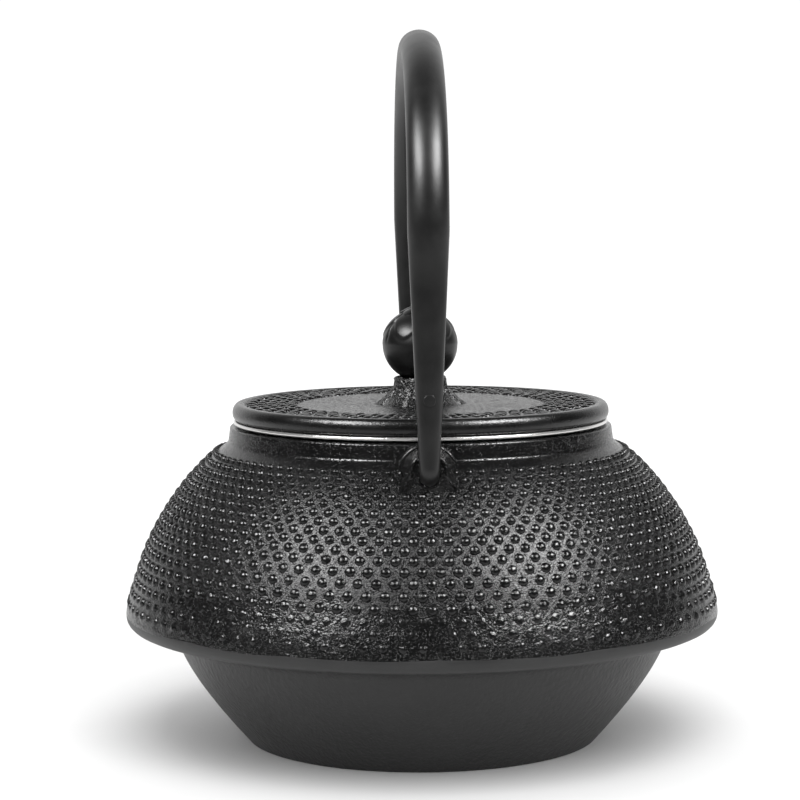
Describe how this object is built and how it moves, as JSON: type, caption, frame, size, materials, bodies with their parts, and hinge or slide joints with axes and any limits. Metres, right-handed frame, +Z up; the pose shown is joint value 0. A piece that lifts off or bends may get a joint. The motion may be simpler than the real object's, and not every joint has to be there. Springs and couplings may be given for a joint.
{
  "type": "cast iron teapot",
  "caption": "Hobnailed cast iron teapot with a short spout, lift-off lid and knob, lift-out steel infuser and a folding bail handle.",
  "frame": {"origin": "centre of the flat base, on the surface it stands on", "axes": "+Z up along the pot's axis, +Y towards the spout, X across; the handle's axis is along Y"},
  "size_m": [0.17, 0.1925, 0.202],
  "materials": {
    "pot_iron": "black, rough sand-cast, satin",
    "lid_iron": "black, rough sand-cast, satin",
    "knob_black": "black, semi-gloss",
    "fastener_steel": "plain",
    "infuser_steel": "bright rolled stainless",
    "infuser_mesh": "fine woven stainless wire",
    "handle_black": "smooth satin black",
    "hook_black": "blackened steel"
  },
  "bodies": {
    "pot": {"pot_body": "pot_iron"},
    "infuser": {"infuser_flange": "infuser_steel", "infuser_wall": "infuser_mesh", "infuser_base_ring": "infuser_steel", "infuser_base": "infuser_mesh"},
    "lid": {"lid": "lid_iron"},
    "knob": {"knob": "knob_black", "knob_pin": "fastener_steel", "knob_washer": "fastener_steel"},
    "handle": {"handle_grip": "handle_black", "handle_hook_front": "hook_black", "handle_hook_rear": "hook_black", "handle_rivet_front": "hook_black", "handle_rivet_rear": "hook_black"}
  },
  "joints": [
    {"name": "infuser_lift", "type": "slide", "parent": "pot", "child": "infuser", "axis": [0, 0, 1], "range_m": [0, 0.052]},
    {"name": "lid_lift", "type": "slide", "parent": "infuser", "child": "lid", "axis": [0, 0, 1], "range_m": [0, 0.04]},
    {"name": "knob_swivel", "type": "hinge", "parent": "lid", "child": "knob", "pos_m": [0, 0, 0.1037], "axis": [0, 0, 1], "continuous": true},
    {"name": "handle_swing", "type": "hinge", "parent": "pot", "child": "handle", "pos_m": [0, 0, 0.0823], "axis": [0, 1, 0], "range_deg": [-90, 90]}
  ]
}
